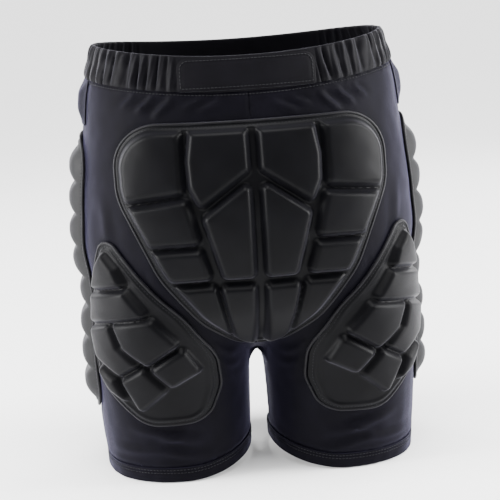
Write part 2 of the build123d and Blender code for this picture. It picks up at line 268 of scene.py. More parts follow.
def surface_net(step):
    """The whole skin as one triangle mesh, with edges about step long."""
    axes = [np.arange(low, high + step, step) for low, high in zip(*SKIN_BOX)]
    grid = np.stack(np.meshgrid(*axes, indexing="ij"), -1)
    shape = grid.shape[:3]
    value = field(grid.reshape(-1, 3)).reshape(shape)
    cells = tuple(n - 1 for n in shape)

    def edge_ends(axis):
        """The field at the start and the end of each of the grid's edges along an axis."""
        return [np.take(value, range(k, shape[axis] - 1 + k), axis) for k in (0, 1)]

    # A cell's point is the mean of the places where its edges cross the surface.
    total = np.zeros(cells + (3,))
    count = np.zeros(cells)
    for axis in range(3):
        a, b = edge_ends(axis)
        crossing = (a < 0) != (b < 0)
        t = np.where(crossing, a / np.where(crossing, a - b, 1), 0)
        point = np.take(grid, range(shape[axis] - 1), axis)
        point[..., axis] += t * step
        others = [o for o in range(3) if o != axis]
        for du in (0, 1):
            for dv in (0, 1):
                cut = [slice(None)] * 3
                for other, d in zip(others, (du, dv)):
                    cut[other] = slice(d, shape[other] - 1 + d)
                inside = crossing[tuple(cut)]
                total += np.where(inside[..., None], point[tuple(cut)], 0)
                count += inside
    index = -np.ones(cells, int)
    used = count > 0
    index[used] = np.arange(used.sum())
    points = total[used] / count[used][:, None]
    # Each edge that crosses the surface makes a quad between the points of the four cells round it.
    triangles = []
    for axis in range(3):
        u, v = (axis + 1) % 3, (axis + 2) % 3
        a, b = edge_ends(axis)
        where = np.argwhere((a < 0) != (b < 0))
        where = where[(where[:, u] > 0) & (where[:, v] > 0)
                      & (where[:, u] < cells[u]) & (where[:, v] < cells[v])]
        corners = []
        for du, dv in ((1, 1), (0, 1), (0, 0), (1, 0)):
            cell = where.copy()
            cell[:, u] -= du
            cell[:, v] -= dv
            corners.append(index[tuple(cell.T)])
        quad = np.stack(corners, 1)
        outward = a[tuple(where.T)] < 0
        quad = np.where(outward[:, None], quad, quad[:, ::-1])
        triangles += [quad[:, [0, 1, 2]], quad[:, [0, 2, 3]]]
    triangles = np.concatenate(triangles)
    points = settle(points)
    for _ in range(3):
        points = settle(relaxed(points, triangles, 0.5), 2)
    return points, triangles


def relaxed(points, triangles, share):
    """Points moved towards the mean of their neighbours."""
    total = np.zeros_like(points)
    count = np.zeros(len(points))
    for a, b in ((0, 1), (1, 2), (2, 0)):
        for i, j in ((a, b), (b, a)):
            np.add.at(total, triangles[:, i], points[triangles[:, j]])
            np.add.at(count, triangles[:, i], 1)
    mean = total / np.maximum(count, 1)[:, None]
    return points * (1 - share) + mean * share


def clip(points, triangles, value):
    """Cut a mesh along the zero line of value and keep where it is positive."""
    value = np.where(np.abs(value) < 1e-6, 1e-6, value)
    inside = (value > 0)[triangles]
    count = inside.sum(1)
    # Triangles with one or two corners inside are turned to put the odd corner first.
    pairs, crossed = [], []
    for corners_in in (1, 2):
        some = triangles[count == corners_in]
        odd = np.argmax(inside[count == corners_in] == (corners_in == 1), axis=1)
        turned = np.stack([some[np.arange(len(some)), (odd + k) % 3] for k in range(3)], 1)
        pairs += [turned[:, [0, 1]], turned[:, [0, 2]]]
        crossed.append(turned)
    ends = np.sort(np.concatenate(pairs), axis=1)
    unique, back = np.unique(ends, axis=0, return_inverse=True)
    back = back.reshape(-1) + len(points)
    a, b = value[unique[:, 0]], value[unique[:, 1]]
    t = (a / (a - b))[:, None]
    points = np.concatenate([points, points[unique[:, 0]] * (1 - t) + points[unique[:, 1]] * t])
    one, two = crossed
    cuts = np.split(back, np.cumsum([len(one), len(one), len(two)]))
    triangles = np.concatenate([
        triangles[count == 3],
        np.stack([one[:, 0], cuts[0], cuts[1]], 1),
        np.stack([cuts[2], two[:, 1], two[:, 2]], 1),
        np.stack([cuts[2], two[:, 2], cuts[3]], 1),
    ])
    used = np.unique(triangles)
    renumber = np.zeros(len(points), int)
    renumber[used] = np.arange(len(used))
    return points[used], renumber[triangles]


def quad_halves(a, b, c, d):
    """Two triangles for each quad, from arrays of its corners' numbers."""
    return np.stack([np.stack([a, b, c], -1), np.stack([a, c, d], -1)], -2).reshape(-1, 3)


def face_normals(points, triangles):
    a, b, c = (points[triangles[:, k]] for k in range(3))
    return np.cross(b - a, c - a)


def facing(points, triangles, normal):
    """The triangles, turned over if they face against the normals."""
    dot = (face_normals(points, triangles) * normal[triangles[:, 0]]).sum()
    return triangles if dot > 0 else triangles[:, ::-1]


def vertex_normals(points, triangles):
    face = face_normals(points, triangles)
    total = np.zeros_like(points)
    for k in range(3):
        np.add.at(total, triangles[:, k], face)
    return total / np.maximum(np.linalg.norm(total, axis=1, keepdims=True), 1e-9)


def border(triangles):
    """Directed edges that belong to one triangle only."""
    edges = np.concatenate([triangles[:, [0, 1]], triangles[:, [1, 2]], triangles[:, [2, 0]]])
    key = np.sort(edges, axis=1)
    _, back, count = np.unique(key, axis=0, return_inverse=True, return_counts=True)
    return edges[count[back.reshape(-1)] == 1]


def twice(uv):
    """The same flat coordinates for a sheet's outer and inner face."""
    return np.concatenate([uv, uv])


def closed_sheet(top, bottom, triangles):
    """A closed mesh from matching outer and inner sheets, with walls round the border."""
    n = len(top)
    edge = border(triangles)
    walls = np.concatenate([
        np.stack([edge[:, 1], edge[:, 0], edge[:, 0] + n], 1),
        np.stack([edge[:, 1], edge[:, 0] + n, edge[:, 1] + n], 1),
    ])
    points = np.concatenate([top, bottom])
    faces = np.concatenate([triangles, triangles[:, ::-1] + n, walls])
    return points, faces


def new_object(name, data):
    """An object in the scene."""
    made = bpy.data.objects.new(name, data)
    bpy.context.scene.collection.objects.link(made)
    return made


def make_mesh(name, points, faces, material, slot, uv=None, node=None, body="shorts",
              sharp_degrees=50):
    """A Blender object from points in millimetres, riding on a CAD body unless body is None.

    node is the CAD node that it stands for.
    """
    mesh = bpy.data.meshes.new(name)
    mesh.from_pydata((points * MM).tolist(), [], [list(map(int, f)) for f in faces])
    mesh.materials.append(material)
    if uv is not None:
        layer = mesh.uv_layers.new(name="UVMap")
        corner = np.empty(len(mesh.loops), np.int32)
        mesh.loops.foreach_get("vertex_index", corner)
        layer.data.foreach_set("uv", (uv * MM)[corner].astype(np.float32).ravel())
    mesh.shade_smooth()
    mesh.set_sharp_from_angle(angle=math.radians(sharp_degrees))
    piece = new_object(name, mesh)
    if body:
        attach(piece, body)
    if node:
        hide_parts(node)
    return piece


def tube_mesh(line, outward, radius, closed, sides=8):
    """Points and faces of a tube along a line; outward is the surface direction at each point."""
    ahead = np.roll(line, -1, 0) - np.roll(line, 1, 0)
    if not closed:
        ahead[0], ahead[-1] = line[1] - line[0], line[-1] - line[-2]
    ahead /= np.linalg.norm(ahead, axis=1, keepdims=True)
    across = np.cross(ahead, outward)
    across /= np.linalg.norm(across, axis=1, keepdims=True)
    up = np.cross(across, ahead)
    turn = np.arange(sides) * 2 * math.pi / sides
    radius = np.broadcast_to(radius, len(line))
    ring = (across[:, None] * np.cos(turn)[None, :, None]
            + up[:, None] * np.sin(turn)[None, :, None]) * radius[:, None, None]
    points = (line[:, None] + ring).reshape(-1, 3)
    n = len(line)
    faces = []
    for i in range(n if closed else n - 1):
        j = (i + 1) % n
        for s in range(sides):
            r = (s + 1) % sides
            faces.append((i * sides + s, j * sides + s, j * sides + r, i * sides + r))
    if not closed:
        faces.append(tuple(range(sides)))
        faces.append(tuple((n - 1) * sides + s for s in reversed(range(sides))))
    return points, faces


def joined(parts):
    """Several (points, faces) as one."""
    points, faces, start = [], [], 0
    for p, f in parts:
        points.append(p)
        faces += [tuple(int(i) + start for i in face) for face in f]
        start += len(p)
    return np.concatenate(points), faces


def run_of(line):
    """Distance along a line from its start to each of its points."""
    return np.concatenate([[0], np.cumsum(np.linalg.norm(np.diff(line, axis=0), axis=1))])


def rows_at(at, along, rows):
    """Rows of numbers known at the distances along, interpolated at others."""
    return np.stack([np.interp(at, along, column) for column in rows.T], 1)


def evenly(line, spacing):
    """A closed line's points again, evenly spaced."""
    line = np.concatenate([line, line[:1]])
    along = run_of(line)
    count = max(2, int(round(along[-1] / spacing)))
    return rows_at(np.linspace(0, along[-1], count + 1)[:-1], along, line)


def stitch_row(line, outward):
    """Separate thread stitches along a line lying on the cloth."""
    along = run_of(line)
    parts = []
    for k in range(int(along[-1] / STITCH_PITCH)):
        at = k * STITCH_PITCH + np.array([0, 0.25, 0.75, 1]) * STITCH_LENGTH
        up = rows_at(at, along, outward)
        points = rows_at(at, along, line)
        points = points + up * (np.array([-0.3, 1, 1, -0.3]) * STITCH_LIFT)[:, None]
        radius = THREAD_RADIUS * np.array([0.6, 1, 1, 0.6])
        parts.append(tube_mesh(points, up, radius, False, sides=5))
    return joined(parts)


def rounded_outline(corners, spacing=2.0):
    """Points round a polygon whose corners (x, z, radius) are rounded to arcs."""
    corners = [np.array(c, float) for c in corners]
    line = []
    for k, corner in enumerate(corners):
        here, radius = corner[:2], corner[2]
        before = corners[k - 1][:2] - here
        after = corners[(k + 1) % len(corners)][:2] - here
        before /= np.linalg.norm(before)
        after /= np.linalg.norm(after)
        half = math.acos(np.clip(before @ after, -1, 1)) / 2
        back = radius / math.tan(half)
        start, end = here + before * back, here + after * back
        middle = here + (before + after) / np.linalg.norm(before + after) * radius / math.sin(half)
        first, last = start - middle, end - middle
        turn = math.acos(np.clip(first @ last / radius**2, -1, 1))
        steps = max(2, int(turn * radius / spacing))
        for s in range(steps + 1):
            t = s / steps
            line.append(middle + (first * math.sin((1 - t) * turn) + last * math.sin(t * turn))
                        / max(math.sin(turn), 1e-6))
    return evenly(np.array(line), spacing)


def depth_inside(points, outline):
    """Distance inside a closed outline, negative outside it."""
    a = outline
    b = np.roll(outline, -1, 0)
    best = np.full(len(points), 1e9)
    inside = np.zeros(len(points), bool)
    for p, q in zip(a, b):
        d = q - p
        t = np.clip(((points - p) @ d) / (d @ d), 0, 1)
        best = np.minimum(best, np.linalg.norm(points - p - t[:, None] * d, axis=1))
        crosses = (p[1] > points[:, 1]) != (q[1] > points[:, 1])
        if p[1] != q[1]:
            x = p[0] + (points[:, 1] - p[1]) / (q[1] - p[1]) * d[0]
            inside ^= crosses & (points[:, 0] < x)
    return np.where(inside, best, -best)


# ---------------- materials
def nodes_of(name, base, roughness, sheen=0.0, tint=(1, 1, 1), specular=0.5):
    """A new material and its node tree, with the even values set on the shader itself."""
    material = bpy.data.materials.new(name)
    material.use_nodes = True
    tree = material.node_tree
    shader = tree.nodes["Principled BSDF"]
    for key, value in (("Base Color", (*base, 1)), ("Roughness", roughness),
                       ("Sheen Weight", sheen), ("Sheen Roughness", 0.35),
                       ("Sheen Tint", (*tint, 1)), ("Specular IOR Level", specular)):
        shader.inputs[key].default_value = value
    return material, tree, shader


def add(tree, kind, sources=None, **values):
    """A node with values for its inputs, and sources, the outputs that its inputs come from."""
    node = tree.nodes.new(kind)
    for key, value in values.items():
        node.inputs[key].default_value = value
    for key, output in (sources or {}).items():
        tree.links.new(output, node.inputs[key])
    return node


def calculate(tree, operation, *operands):
    """Output of a math node whose operands are numbers or other nodes' outputs."""
    node = tree.nodes.new("ShaderNodeMath")
    node.operation = operation
    for k, operand in enumerate(operands):
        if isinstance(operand, float):
            node.inputs[k].default_value = operand
        else:
            tree.links.new(operand, node.inputs[k])
    return node.outputs[0]


def cloth_material(name, base, light, thread=1.1, ribs=(1.0, 1.0), roughness=0.58, sheen=0.06,
                   bump=0.25, specular=0.12, tint=(0.62, 0.60, 0.80)):
    """Knitted or woven cloth: fine crossing threads, slow colour variation and a soft sheen.

    thread is the thread spacing in millimetres; base and light are the colours it varies over.
    """
    material, tree, shader = nodes_of(name, base, roughness, sheen, tint, specular)
    where = add(tree, "ShaderNodeTexCoord").outputs
    per_metre = 1 / (thread * MM)
    uv = add(tree, "ShaderNodeMapping", {"Vector": where["UV"]},
             Scale=(per_metre * ribs[0], per_metre * ribs[1], 1))
    split = add(tree, "ShaderNodeSeparateXYZ", {"Vector": uv.outputs["Vector"]})
    weave = calculate(tree, "MULTIPLY", *(
        calculate(tree, "SINE", calculate(tree, "MULTIPLY", split.outputs[axis], 2 * math.pi))
        for axis in ("X", "Y")))
    patches = add(tree, "ShaderNodeTexNoise", {"Vector": where["Object"]},
                  Scale=28.0, Detail=3.0, Roughness=0.6)
    fibres = add(tree, "ShaderNodeTexNoise", {"Vector": where["Object"]}, Scale=900.0, Detail=2.0)
    shade = calculate(tree, "MULTIPLY_ADD", weave, 0.22, patches.outputs["Fac"])
    ramp = add(tree, "ShaderNodeValToRGB", {"Fac": shade})
    for stop, position, colour in zip(ramp.color_ramp.elements, (0.28, 0.85), (base, light)):
        stop.position = position
        stop.color = (*colour, 1)
    height = calculate(tree, "MULTIPLY_ADD", weave, 0.5, fibres.outputs["Fac"])
    relief = add(tree, "ShaderNodeBump", {"Height": height}, Strength=bump, Distance=0.25 * MM)
    tree.links.new(ramp.outputs["Color"], shader.inputs["Base Color"])
    tree.links.new(relief.outputs["Normal"], shader.inputs["Normal"])
    return material


# Tints of the cloth's sheen.
VIOLET = (0.60, 0.56, 0.98)
FAINT_VIOLET = (0.86, 0.84, 1.0)
SHELL_CLOTH, YOKE_CLOTH = (
    cloth_material(name, (0.0010, 0.0009, 0.0016), (0.0026, 0.0023, 0.0042), sheen=0.17,
                   specular=0.03, tint=VIOLET)
    for name in ("shell_cloth", "yoke_cloth"))
PAD_CLOTH = cloth_material("pad_cloth", (0.0007, 0.0007, 0.0010), (0.0019, 0.0019, 0.0026),
                           thread=0.9, roughness=0.40, sheen=0.09, bump=0.14, specular=0.055,
                           tint=FAINT_VIOLET)
SIDE_CLOTH = cloth_material("side_pad_cloth", (0.0040, 0.0040, 0.0044), (0.0086, 0.0086, 0.0094),
                            thread=0.9, roughness=0.52, sheen=0.10, bump=0.15, specular=0.12)
BAND_CLOTH = cloth_material("waistband_cloth", (0.0011, 0.0010, 0.0016),
                            (0.0028, 0.0026, 0.0038), thread=1.0, ribs=(1.6, 0.8),
                            roughness=0.52, sheen=0.11, specular=0.045, tint=FAINT_VIOLET)
MESH_CLOTH = cloth_material("mesh_cloth", (0.010, 0.010, 0.012), (0.019, 0.019, 0.022),
                            thread=0.6, roughness=0.6, sheen=0.12)
PIPING_CLOTH = cloth_material("piping_cloth", (0.0022, 0.0021, 0.0028), (0.0050, 0.0048, 0.0062),
                              thread=0.8, roughness=0.42, specular=0.10)
THREAD = cloth_material("thread", (0.005, 0.005, 0.006), (0.011, 0.011, 0.013), thread=0.5,
                        roughness=0.5)
FOAM = cloth_material("foam", (0.030, 0.030, 0.032), (0.050, 0.050, 0.052), thread=2.0,
                      roughness=0.9, sheen=0.0)
BACKING = cloth_material("spacer", (0.012, 0.012, 0.014), (0.024, 0.024, 0.027), thread=1.6)
HOOK = cloth_material("hook_tape", (0.005, 0.005, 0.005), (0.012, 0.012, 0.012), thread=1.4,
                      bump=0.8)
LOOP = cloth_material("loop_tape", (0.007, 0.007, 0.008), (0.014, 0.014, 0.016), thread=0.7,
                      bump=0.8, sheen=0.3)
ELASTIC = cloth_material("elastic", (0.005, 0.005, 0.006), (0.010, 0.010, 0.012), thread=1.8,
                         ribs=(0.5, 2.0))


# ---------------- pads: outlines and places
SEAT_OUTLINE = [(141, 399, 45), (141, 325, 60), (103, 240, 100), (62, 188, 80), (25, 159, 40),
                (0, 151, 25)]
SEAT_LEFT_BLOCKS = [
    [(7, 399), (7, 351), (57, 316), (66, 336), (67, 362), (61, 399)],
    [(74, 399), (74, 331), (146, 320), (150, 399)],
    [(7, 338), (7, 242), (37, 242), (54, 304)],
    [(71, 322), (146, 311), (134, 274), (61, 280)],
    [(60, 271), (134, 266), (114, 238), (51, 242)],
    [(7, 231), (40, 231), (27, 160), (7, 152)],
    [(48, 232), (110, 229), (70, 160), (34, 176)],
]
SEAT_CORNER_RADIUS = 4.0
SEAT_MARGIN = 8.5           # from the outline to the blocks' outer edges
THIGH_PLANE_Y = -13 + SHIFT_Y
THIGH_TURN = math.radians(32)
THIGH_OUTLINE = [(-16, 284, 14), (68, 197, 70), (87, 150, 60), (84, 112, 60), (72, 74, 22),
                 (18, 72, 40), (-44, 120, 40), (-49, 160, 80), (-44, 225, 60)]
THIGH_BLOCKS = [
    [(-35, 223), (-28, 249), (-14, 264), (3, 249), (12, 232)],
    [(-39, 215), (14, 226), (37, 200), (-41, 183)],
    [(-42, 176), (-9, 186), (0, 163), (22, 146), (-3, 131), (-34, 146)],
    [(-4, 188), (41, 195), (61, 169), (30, 146), (7, 163)],
    [(34, 140), (65, 162), (74, 136), (49, 120)],
    [(-1, 125), (26, 141), (44, 117), (15, 90)],
    [(-40, 139), (-11, 124), (6, 98), (-19, 110)],
]
THIGH_CORNER_RADIUS = 3.0
THIGH_MARGIN = 6
SIDE_OUTLINE = [(-62, 382, 22), (-82, 325, 80), (-60, 74, 26), (20, 74, 30), (20, 378, 34)]
SIDE_MARGIN = 7
SIDE_SEGMENTS = 8
SIDE_SEGMENT_FOOT = 88
SIDE_SEGMENT_PITCH = 35.2
SIDE_SEGMENT_GROOVE = 5
SIDE_FLOOR_SHARE = 3.2      # lifts the floor of the grooves between the side segments

THIGH_ORIGIN = np.array([LEG_AXIS, THIGH_PLANE_Y, 0.0])
THIGH_ACROSS = np.array([-math.cos(THIGH_TURN), math.sin(THIGH_TURN), 0])
THIGH_OUT = np.array([math.sin(THIGH_TURN), math.cos(THIGH_TURN), 0])


def seat_line():
    """The seat pad's whole outline, (x, z)."""
    right_half = [(-x, z, radius) for x, z, radius in SEAT_OUTLINE[-2::-1]]
    return rounded_outline(SEAT_OUTLINE + right_half)


def seat_start(flat):
    return at_y(flat, BEYOND)


def thigh_start(flat):
    return THIGH_ORIGIN + flat[:, :1] * THIGH_ACROSS + THIGH_OUT * BEYOND + flat[:, 1:] * [0, 0, 1]


def side_start(flat):
    return np.stack([np.full(len(flat), BEYOND), flat[:, 0], flat[:, 1]], 1)


def polygon_blocks(block_corners, radius, outline, margin):
    """Depth functions of foam blocks with rounded corners, kept inside the pad's outline."""
    def block(corners):
        line = rounded_outline([(*c, radius) for c in corners], 1.5)

        def depth(flat):
            return soft_lower(depth_near(flat, line), depth_near(flat, outline, 12) - margin, 3.0)
        return depth
    return [block(corners) for corners in block_corners]


def soft_lower(a, b, round_off):
    """The lower of two depths, rounded where they meet."""
    h = np.clip(0.5 + 0.5 * (b - a) / round_off, 0, 1)
    return b * (1 - h) + a * h - round_off * h * (1 - h)


def depth_near(flat, line, reach=8):
    """depth_inside, worked out only near the outline's box and -reach elsewhere."""
    low, high = line.min(0) - reach, line.max(0) + reach
    near = np.all((flat > low) & (flat < high), axis=1)
    depth = np.full(len(flat), -float(reach))
    depth[near] = depth_inside(flat[near], line)
    return depth


SEAT_LINE = seat_line()
THIGH_LINE = rounded_outline(THIGH_OUTLINE)
SIDE_LINE = rounded_outline(SIDE_OUTLINE)
SEAT_BLOCKS = SEAT_LEFT_BLOCKS + [[(-x, z) for x, z in corners] for corners in SEAT_LEFT_BLOCKS]


def side_segment(row):
    """The depth function of one segment of the side pad; grooves between segments are shallow."""
    low = SIDE_SEGMENT_FOOT + SIDE_SEGMENT_PITCH * row
    high = low + SIDE_SEGMENT_PITCH - SIDE_SEGMENT_GROOVE

    def depth(flat):
        inset = depth_near(flat, SIDE_LINE, 20) - SIDE_MARGIN
        within = np.minimum(flat[:, 1] - low, high - flat[:, 1])
        return soft_lower(inset, within + SIDE_FLOOR_SHARE, 5.0)
    return depth


# start and direction are where the rays that find the surface under the pad begin and go; tall is
# the blocks' height, and shoulder is how wide their rounded edges are.
Pad = namedtuple("Pad", "line blocks start direction tall shoulder")
PADS = {
    "seat_pad": Pad(
        SEAT_LINE, polygon_blocks(SEAT_BLOCKS, SEAT_CORNER_RADIUS, SEAT_LINE, SEAT_MARGIN),
        seat_start, np.array([0, -1.0, 0]), tall=12.4, shoulder=7.5),
    "thigh_pad": Pad(
        THIGH_LINE, polygon_blocks(THIGH_BLOCKS, THIGH_CORNER_RADIUS, THIGH_LINE, THIGH_MARGIN),
        thigh_start, -THIGH_OUT, tall=12.2, shoulder=7.5),
    "side_pad": Pad(
        SIDE_LINE, [side_segment(row) for row in range(SIDE_SEGMENTS)],
        side_start, np.array([-1.0, 0, 0]), tall=13.2, shoulder=19.0),
}
COVER_FLOOR = 3.3           # height of the cover between the blocks
COVER_CLOTH = 1.2
GROOVE_SPREAD = 4.0         # how far a block's bevel reaches into the groove
WELT_DEPTH = 5.0            # the raised welt runs this far inside a pad's edge
VALLEY_ROUND = 1.3          # softens the creases where blocks meet each other or the floor


def depth_under_pads(p):
    """Distance inside the nearest pad's outline for points of the shell, negative outside."""
    left = on_left(p)
    far = np.full(len(p), -FAR)
    depth = far.copy()
    local = left - THIGH_ORIGIN
    flats = (
        (SEAT_LINE, np.stack([left[:, 0], p[:, 2]], 1), p[:, 1] > 0),
        (THIGH_LINE, np.stack([local @ THIGH_ACROSS, p[:, 2]], 1), local @ THIGH_OUT > 20),
        (SIDE_LINE, p[:, 1:], left[:, 0] > LEG_AXIS),
    )
    for line, flat, facing in flats:
        depth = np.maximum(depth, np.where(facing, depth_near(flat, line, 14), far))
    return np.maximum(depth, np.where(left[:, 0] > HIP_FROM_X, hip_depth(left), far))


def hip_depth(p):
    """Distance inside the hip yoke's edges, for points on the left half."""
    below = rim_line(p[:, 0]) - WAISTBAND - 1 - p[:, 2]
    above = p[:, 2] - rim_line(p[:, 0]) + WAISTBAND + YOKE_HEIGHT
    front = np.where(p[:, 1] < SIDE_SEAM_Y, p[:, 0] - YOKE_FRONT_X, FAR)
    return np.minimum.reduce([below, above, front, YOKE_BACK_Y - p[:, 1]])


# ---------------- folds in the shell cloth
# Soft folds: ends (x, z) on the front (-1) or back (1), half width and height.
FOLDS = [
    # groin, fanning from the crotch
    (-1, (30, 176), (92, 214), 9, 2.6), (-1, (26, 160), (84, 184), 8, 2.2),
    (-1, (24, 146), (70, 158), 7, 1.6), (-1, (34, 190), (70, 232), 8, 1.6),
    # under the seat pad
    (1, (26, 142), (64, 158), 8, 2.4), (1, (22, 128), (58, 136), 7, 1.8),
    (1, (30, 110), (56, 150), 8, 1.6),
    # below the thigh pad
    (1, (66, 50), (152, 62), 10, 3.0), (1, (56, 30), (136, 38), 9, 2.4),
    (1, (84, 66), (124, 40), 9, 1.8), (1, (112, 44), (166, 30), 8, 1.6),
    # beside the seat pad
    (1, (150, 250), (166, 330), 9, 1.4), (1, (118, 214), (134, 248), 7, 1.6),
    # under the waistband, beside the front panels
    (-1, (104, 430), (128, 412), 5, 1.8), (-1, (116, 432), (142, 410), 5, 1.8),
    (-1, (92, 426), (112, 408), 5, 1.4), (-1, (58, 428), (80, 414), 5, 0.8),
    # under the waistband at the back
    (1, (80, 432), (98, 404), 6, 3.0), (1, (100, 434), (114, 410), 5, 2.6),
    (1, (120, 436), (128, 416), 5, 2.0), (1, (28, 428), (52, 408), 6, 2.0),
    (1, (48, 430), (66, 414), 5, 1.8),
    # front of the thigh
    (-1, (60, 120), (130, 132), 12, 1.2), (-1, (50, 70), (120, 84), 12, 1.0),
    (-1, (70, 40), (150, 34), 11, 1.2),
]


FOLD_SWAY = 3               # how far a fold wanders from its straight line
FOLD_SHIFT = 5.0


def folded(p):
    """Height of the soft folds at points of the shell, on both halves."""
    height = np.zeros(len(p))
    facing_side = np.where(p[:, 1] < SIDE_SEAM_Y, -1, 1)
    # The right half's folds sit a little differently from the left half's.
    shift = np.where(p[:, 0] > 0, 0.0, FOLD_SHIFT)
    flat = np.stack([np.abs(p[:, 0]) + shift * 0.6, p[:, 2] + shift], 1)
    for side, start, end, width, tall in FOLDS:
        start, end = np.array(start, float), np.array(end, float)
        d = end - start
        length = np.linalg.norm(d)
        t = ((flat - start) @ d) / length**2
        across = ((flat - start) @ np.array([-d[1], d[0]])) / length
        across = across + FOLD_SWAY * np.sin(t * 4 + side)
        taper = np.clip(1 - (2 * t - 1) ** 2, 0, 1)
        ridge = np.exp(-(across / (0.55 * width)) ** 2)
        valley = 0.55 * np.exp(-((across - width) / (0.6 * width)) ** 2)
        height += np.where(facing_side == side, tall * taper * (ridge - valley), 0)
    return height


def seam_distance(p):
    """Distance from the nearest seam of the shell panels."""
    x, y, z = np.abs(p[:, 0]), p[:, 1], p[:, 2]
    front = y < SIDE_SEAM_Y
    centre = np.where(front & (z > 150), np.abs(x - edge_x(CENTRE_PANEL_EDGE, z)), FAR)
    mesh = np.where(front & (z > 182), np.abs(x - edge_x(MESH_EDGE, z)), FAR)
    side = np.abs(y - SIDE_SEAM_Y)
    back = np.where((y > 0) & (z > 150), x, FAR)
    waist = np.abs(rim_line(p[:, 0]) - WAISTBAND - z)
    hem = np.abs(z - hem_line(p[:, 0]) - HEM_BAND)
    return np.minimum.reduce([centre, mesh, side, back, waist, hem])


def cloth_height(p):
    """How far the shell cloth stands off the smooth form; it lies flat under the pads."""
    wavy = 0.9 * noise(p * [1, 1, 0.6], 34, 3) + 0.35 * noise(p, 13, 5)
    d = seam_distance(p)
    seam = -1.5 * np.exp(-(d / 1.8) ** 2) + 0.5 * np.exp(-((d - 4.5) / 2.2) ** 2)
    pucker = 0.35 * np.exp(-(d / 6) ** 2) * noise(p, 4.5, 9)
    loose = 1 - step_between(-9, -1, depth_under_pads(p))
    return (wavy + seam + pucker + folded(p)) * loose - 0.5 * (1 - loose)


LEG_MIDDLE_Y = -12
SHELL_UV_RADIUS = 105       # turns an angle round a leg into a distance along the cloth


def shell_uv(p):
    """Flat coordinates of the shell cloth: round the leg and up."""
    side = np.where(p[:, 0] >= 0, 1, -1)
    back = np.where(p[:, 1] > SIDE_SEAM_Y, 1, -1)
    angle = np.arctan2(np.abs(p[:, 0]) - LEG_AXIS, np.abs(p[:, 1] - LEG_MIDDLE_Y) + 1)
    return np.stack([side * back * angle * SHELL_UV_RADIUS, p[:, 2]], 1)


# ---------------- shell panels
SKIN_POINTS, SKIN_TRIANGLES = surface_net(3.6)
SEAM_GAP = -0.1             # the panels overlap by a hair, so no light shows through a seam
TUCK = 3                    # how far the panels run under the waistband and into the hems
GUSSET_HALF_WIDTH = 24
GUSSET_HALF_LENGTH = 50
GUSSET_Y = -12
GUSSET_LOW, GUSSET_HIGH = 112, 168
SHELL_THICK = 1.6


def cut_skin(*values):
    """The part of the skin where every value function is positive."""
    points, triangles = SKIN_POINTS, SKIN_TRIANGLES
    for value in values:
        points, triangles = clip(points, triangles, value(points))
        points = settle(points, 2)
    return points, triangles


def below_waist(p):
    return rim_line(p[:, 0]) - WAISTBAND + TUCK - p[:, 2]


def above_hem(p):
    return p[:, 2] - hem_line(p[:, 0]) - HEM_BAND + TUCK


def in_front(p):
    return SIDE_SEAM_Y - SEAM_GAP / 2 - p[:, 1]


def behind(p):
    return p[:, 1] - SIDE_SEAM_Y - SEAM_GAP / 2


def outside_gusset(p):
    return np.maximum.reduce([
        np.abs(p[:, 0]) - GUSSET_HALF_WIDTH,
        np.abs(p[:, 1] - GUSSET_Y) - GUSSET_HALF_LENGTH,
        GUSSET_LOW - p[:, 2],
        p[:, 2] - GUSSET_HIGH,
    ]) - SEAM_GAP / 2


def inside_gusset(p):
    return -outside_gusset(p) - SEAM_GAP


def within_centre(p):
    return edge_x(CENTRE_PANEL_EDGE, p[:, 2]) - np.abs(p[:, 0]) - SEAM_GAP / 2


def above_centre_foot(p):
    return p[:, 2] - CENTRE_PANEL_EDGE[-1][1]


def beyond_front_strips(p):
    """Outside both the centre panel and the mesh strip."""
    beyond_centre = np.abs(p[:, 0]) - edge_x(CENTRE_PANEL_EDGE, p[:, 2])
    beyond_mesh = np.abs(p[:, 0]) - edge_x(MESH_EDGE, p[:, 2])
    under_mesh = MESH_EDGE[-1][1] - p[:, 2]
    return np.minimum(beyond_centre, np.maximum(beyond_mesh, under_mesh)) - SEAM_GAP / 2


def shell_piece(node, values):
    """One cloth panel cut from the skin, with folds, thickness and closed edges."""
    points, triangles = cut_skin(below_waist, above_hem, *values)
    normal = normals_at(points)
    top = points + normal * cloth_height(points)[:, None]
    closed, faces = closed_sheet(top, top - normal * SHELL_THICK, triangles)
    make_mesh(node + "_cloth", closed, faces, SHELL_CLOTH, "shell_fabric",
              twice(shell_uv(points)), node)


for side, sign in SIDES:
    def on_side(p, sign=sign):
        return sign * p[:, 0] - SEAM_GAP / 2

    shell_piece(f"front_leg_panel_{side}", [on_side, in_front, beyond_front_strips,
                                            outside_gusset])
    shell_piece(f"back_leg_panel_{side}", [on_side, behind, outside_gusset])
shell_piece("front_centre_panel", [in_front, within_centre, outside_gusset, above_centre_foot])
shell_piece("crotch_gusset", [inside_gusset])


# ---------------- perforated mesh strips
HOLE_PITCH = 3.2
HOLE_RADIUS = 0.95
MESH_THICK = 1.0


